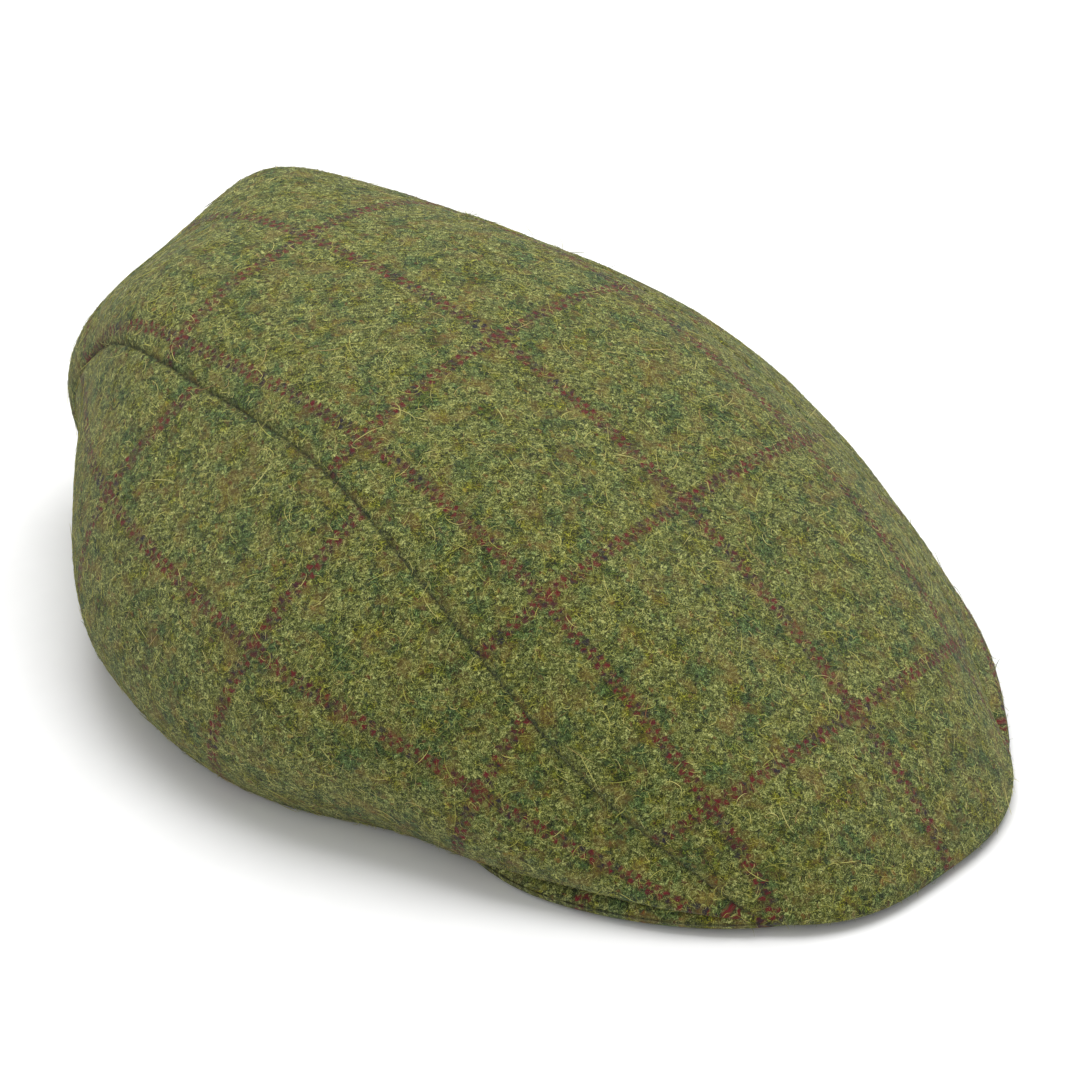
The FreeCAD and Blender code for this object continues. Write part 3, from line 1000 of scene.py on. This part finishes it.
def board_plastic():
    """Pale flexible plastic of the peak's board."""
    n = Nodes("peak_board_plastic", specular=0.4)
    place = n.node("ShaderNodeTexCoord").outputs["Object"]
    speckle = n.noise(place, 900.0, 3.0, 0.6)
    clouds = n.noise(place, 60.0, 2.0)
    both = n.times(n.plus(speckle, clouds), 0.5)
    shades = [(0.35, colour(176, 180, 178)), (0.65, colour(206, 208, 204))]
    n.put(n.shader.inputs["Base Color"], n.ramp(both, shades))
    n.put(n.shader.inputs["Roughness"], n.plus(n.times(clouds, 0.2), 0.4))
    n.bump(speckle, 0.0001, 0.5)
    return n.material


def floor_material():
    """Matt, nearly white floor."""
    n = Nodes("studio_floor", specular=0.1)
    place = n.node("ShaderNodeTexCoord").outputs["Object"]
    grain = n.noise(place, 35.0, 3.0, 0.6)
    shades = [(0.3, (0.84, 0.84, 0.84, 1)), (0.7, (0.87, 0.87, 0.87, 1))]
    n.put(n.shader.inputs["Base Color"], n.ramp(grain, shades))
    n.shader.inputs["Roughness"].default_value = 0.9
    return n.material


# ---- putting it together

def dress(obj, material, node=None):
    """Give a piece its material and hide the CAD node it stands for."""
    obj.data.materials.append(material)
    if node:
        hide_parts(node)
    return obj


def bend_with_peak(obj):
    """The crown is sewn along the peak; here the piece's placement is only baked into its mesh."""
    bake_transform(obj)


def build_crown(cloth, wool):
    """The three tweed panels with their loose fibres, and the canvas and tapes inside them."""
    crown = Dome(CROWN_CENTRE, CROWN_SEAM, CROWN_HEM, CROWN_ROUND, CROWN_BULGE)
    panels = [
        ("centre", centre_panel(crown), False, CENTRE_CUT, CENTRE_FIBRES),
        ("left", side_panel(crown, 1), False, SIDE_CUT, SIDE_FIBRES),
        ("right", side_panel(crown, -1), True, SIDE_CUT, SIDE_FIBRES),
    ]
    for seed, (side, grids, mirror, cut, (long_count, short_count)) in enumerate(panels, SEED):
        node = "centre_panel" if side == "centre" else f"side_panel_{side}"
        panel = dress(slab_object(f"{node}_tweed", *grids, mirror=mirror), cloth, node)
        long_wool = fibres(f"{node}_long_wool", panel, long_count, LONG_WOOL, seed)
        nap = fibres(f"{node}_nap", panel, short_count, NAP, seed + 100)
        for piece in (long_wool, nap):
            dress(piece, wool)
        for piece in (panel, long_wool, nap):
            bend_with_peak(piece)

    weave = plain_weave("canvas_weave", colour(200, 196, 180), colour(150, 146, 130), 1.2)
    canvas = slab_object("front_canvas_cloth", *canvas_panel(crown))
    dress(canvas, weave, "front_canvas")
    bend_with_peak(canvas)
    tape = plain_weave("tape_weave", colour(72, 76, 54), colour(40, 44, 30), 0.8)
    for side in ("left", "right"):
        node = f"seam_tape_{side}"
        strip = slab_object(f"{node}_cloth", *seam_tape(crown), mirror=side == "right")
        dress(strip, tape, node)
        bend_with_peak(strip)


def build_lining():
    """The quilted satin lining and the ribbon sweatband, which stay with the crown."""
    inside = Dome(LINING_CENTRE, LINING_SEAM, LINING_HEM, LINING_ROUND, LINING_BULGE)
    middle, flank = lining_panels(inside)
    quilt = satin()
    for side, grids, cut in (
        ("centre", middle, LINING_CENTRE_CUT),
        ("left", flank, LINING_SIDE_CUT),
        ("right", flank, LINING_SIDE_CUT),
    ):
        node = f"lining_{side}"
        piece = slab_object(f"{node}_satin", *grids, mirror=side == "right")
        dress(piece, quilt, node)
        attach(piece, "crown")
    band = dress(sweatband_object(), band_cloth(), "sweatband")
    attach(band, "crown")


def build_peak(cloth):
    """The peak's board between its two tweed covers."""
    board = slab_object("peak_board_sheet", *peak_layer(BOARD_INSET, BOARD_HALF, "board"))
    dress(board, board_plastic(), "peak_board")
    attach(board, "peak")
    for kind in ("upper", "under"):
        cover = slab_object(f"peak_{kind}_tweed", *peak_layer(0, PEAK_RIM, kind))
        dress(cover, cloth, f"peak_{kind}_cover")
        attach(cover, "peak")


def studio():
    """Pale floor and soft light."""
    bpy.ops.mesh.primitive_plane_add(size=FLOOR_SIZE, location=(0, 0, FLOOR_HEIGHT))
    floor = bpy.context.object
    floor.name = "floor"
    floor.data.materials.append(floor_material())
    world = bpy.data.worlds.new("studio")
    bpy.context.scene.world = world
    world.use_nodes = True
    sky = world.node_tree.nodes["Background"]
    sky.inputs[0].default_value = (1.0, 1.0, 1.0, 1)
    sky.inputs[1].default_value = SKY_STRENGTH
    for name, place, size, power in LAMPS:
        lamp = bpy.data.lights.new(name, "AREA")
        lamp.size = size
        lamp.energy = power
        lamp_object = bpy.data.objects.new(name, lamp)
        lamp_object.location = place
        aim = Vector((0, 0, 0.05)) - Vector(place)
        lamp_object.rotation_euler = aim.to_track_quat("-Z", "Y").to_euler()
        bpy.context.collection.objects.link(lamp_object)


def camera():
    """A long lens looking down on the wearer's right front corner."""
    azimuth = math.radians(CAMERA_AZIMUTH)
    elevation = math.radians(CAMERA_ELEVATION)
    level = Vector((math.sin(azimuth), -math.cos(azimuth), 0)) * math.cos(elevation)
    back = level + Vector((0, 0, math.sin(elevation)))
    right = Vector((math.cos(azimuth), math.sin(azimuth), 0))
    up = back.cross(right)
    middle = Vector(CAP_MIDDLE) + right * CAMERA_SLIDE[0] + up * CAMERA_SLIDE[1]
    data = bpy.data.cameras.new("camera")
    data.lens = CAMERA_LENS
    data.sensor_width = 36
    data.clip_start = 0.01
    made = bpy.data.objects.new("camera", data)
    made.location = middle + back * CAMERA_DISTANCE
    made.rotation_euler = back.to_track_quat("Z", "Y").to_euler()
    bpy.context.collection.objects.link(made)
    bpy.context.scene.camera = made


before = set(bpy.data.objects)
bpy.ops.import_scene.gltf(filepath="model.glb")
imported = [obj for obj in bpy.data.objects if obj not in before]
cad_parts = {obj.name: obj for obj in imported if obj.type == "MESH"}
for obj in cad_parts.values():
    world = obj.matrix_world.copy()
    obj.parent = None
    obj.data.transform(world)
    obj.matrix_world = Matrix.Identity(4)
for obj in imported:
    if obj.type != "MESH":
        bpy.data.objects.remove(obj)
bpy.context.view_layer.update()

cloth = tweed()
build_crown(cloth, wool_fibre())
build_lining()
build_peak(cloth)
studio()
camera()
bpy.context.scene.view_settings.view_transform = "Standard"
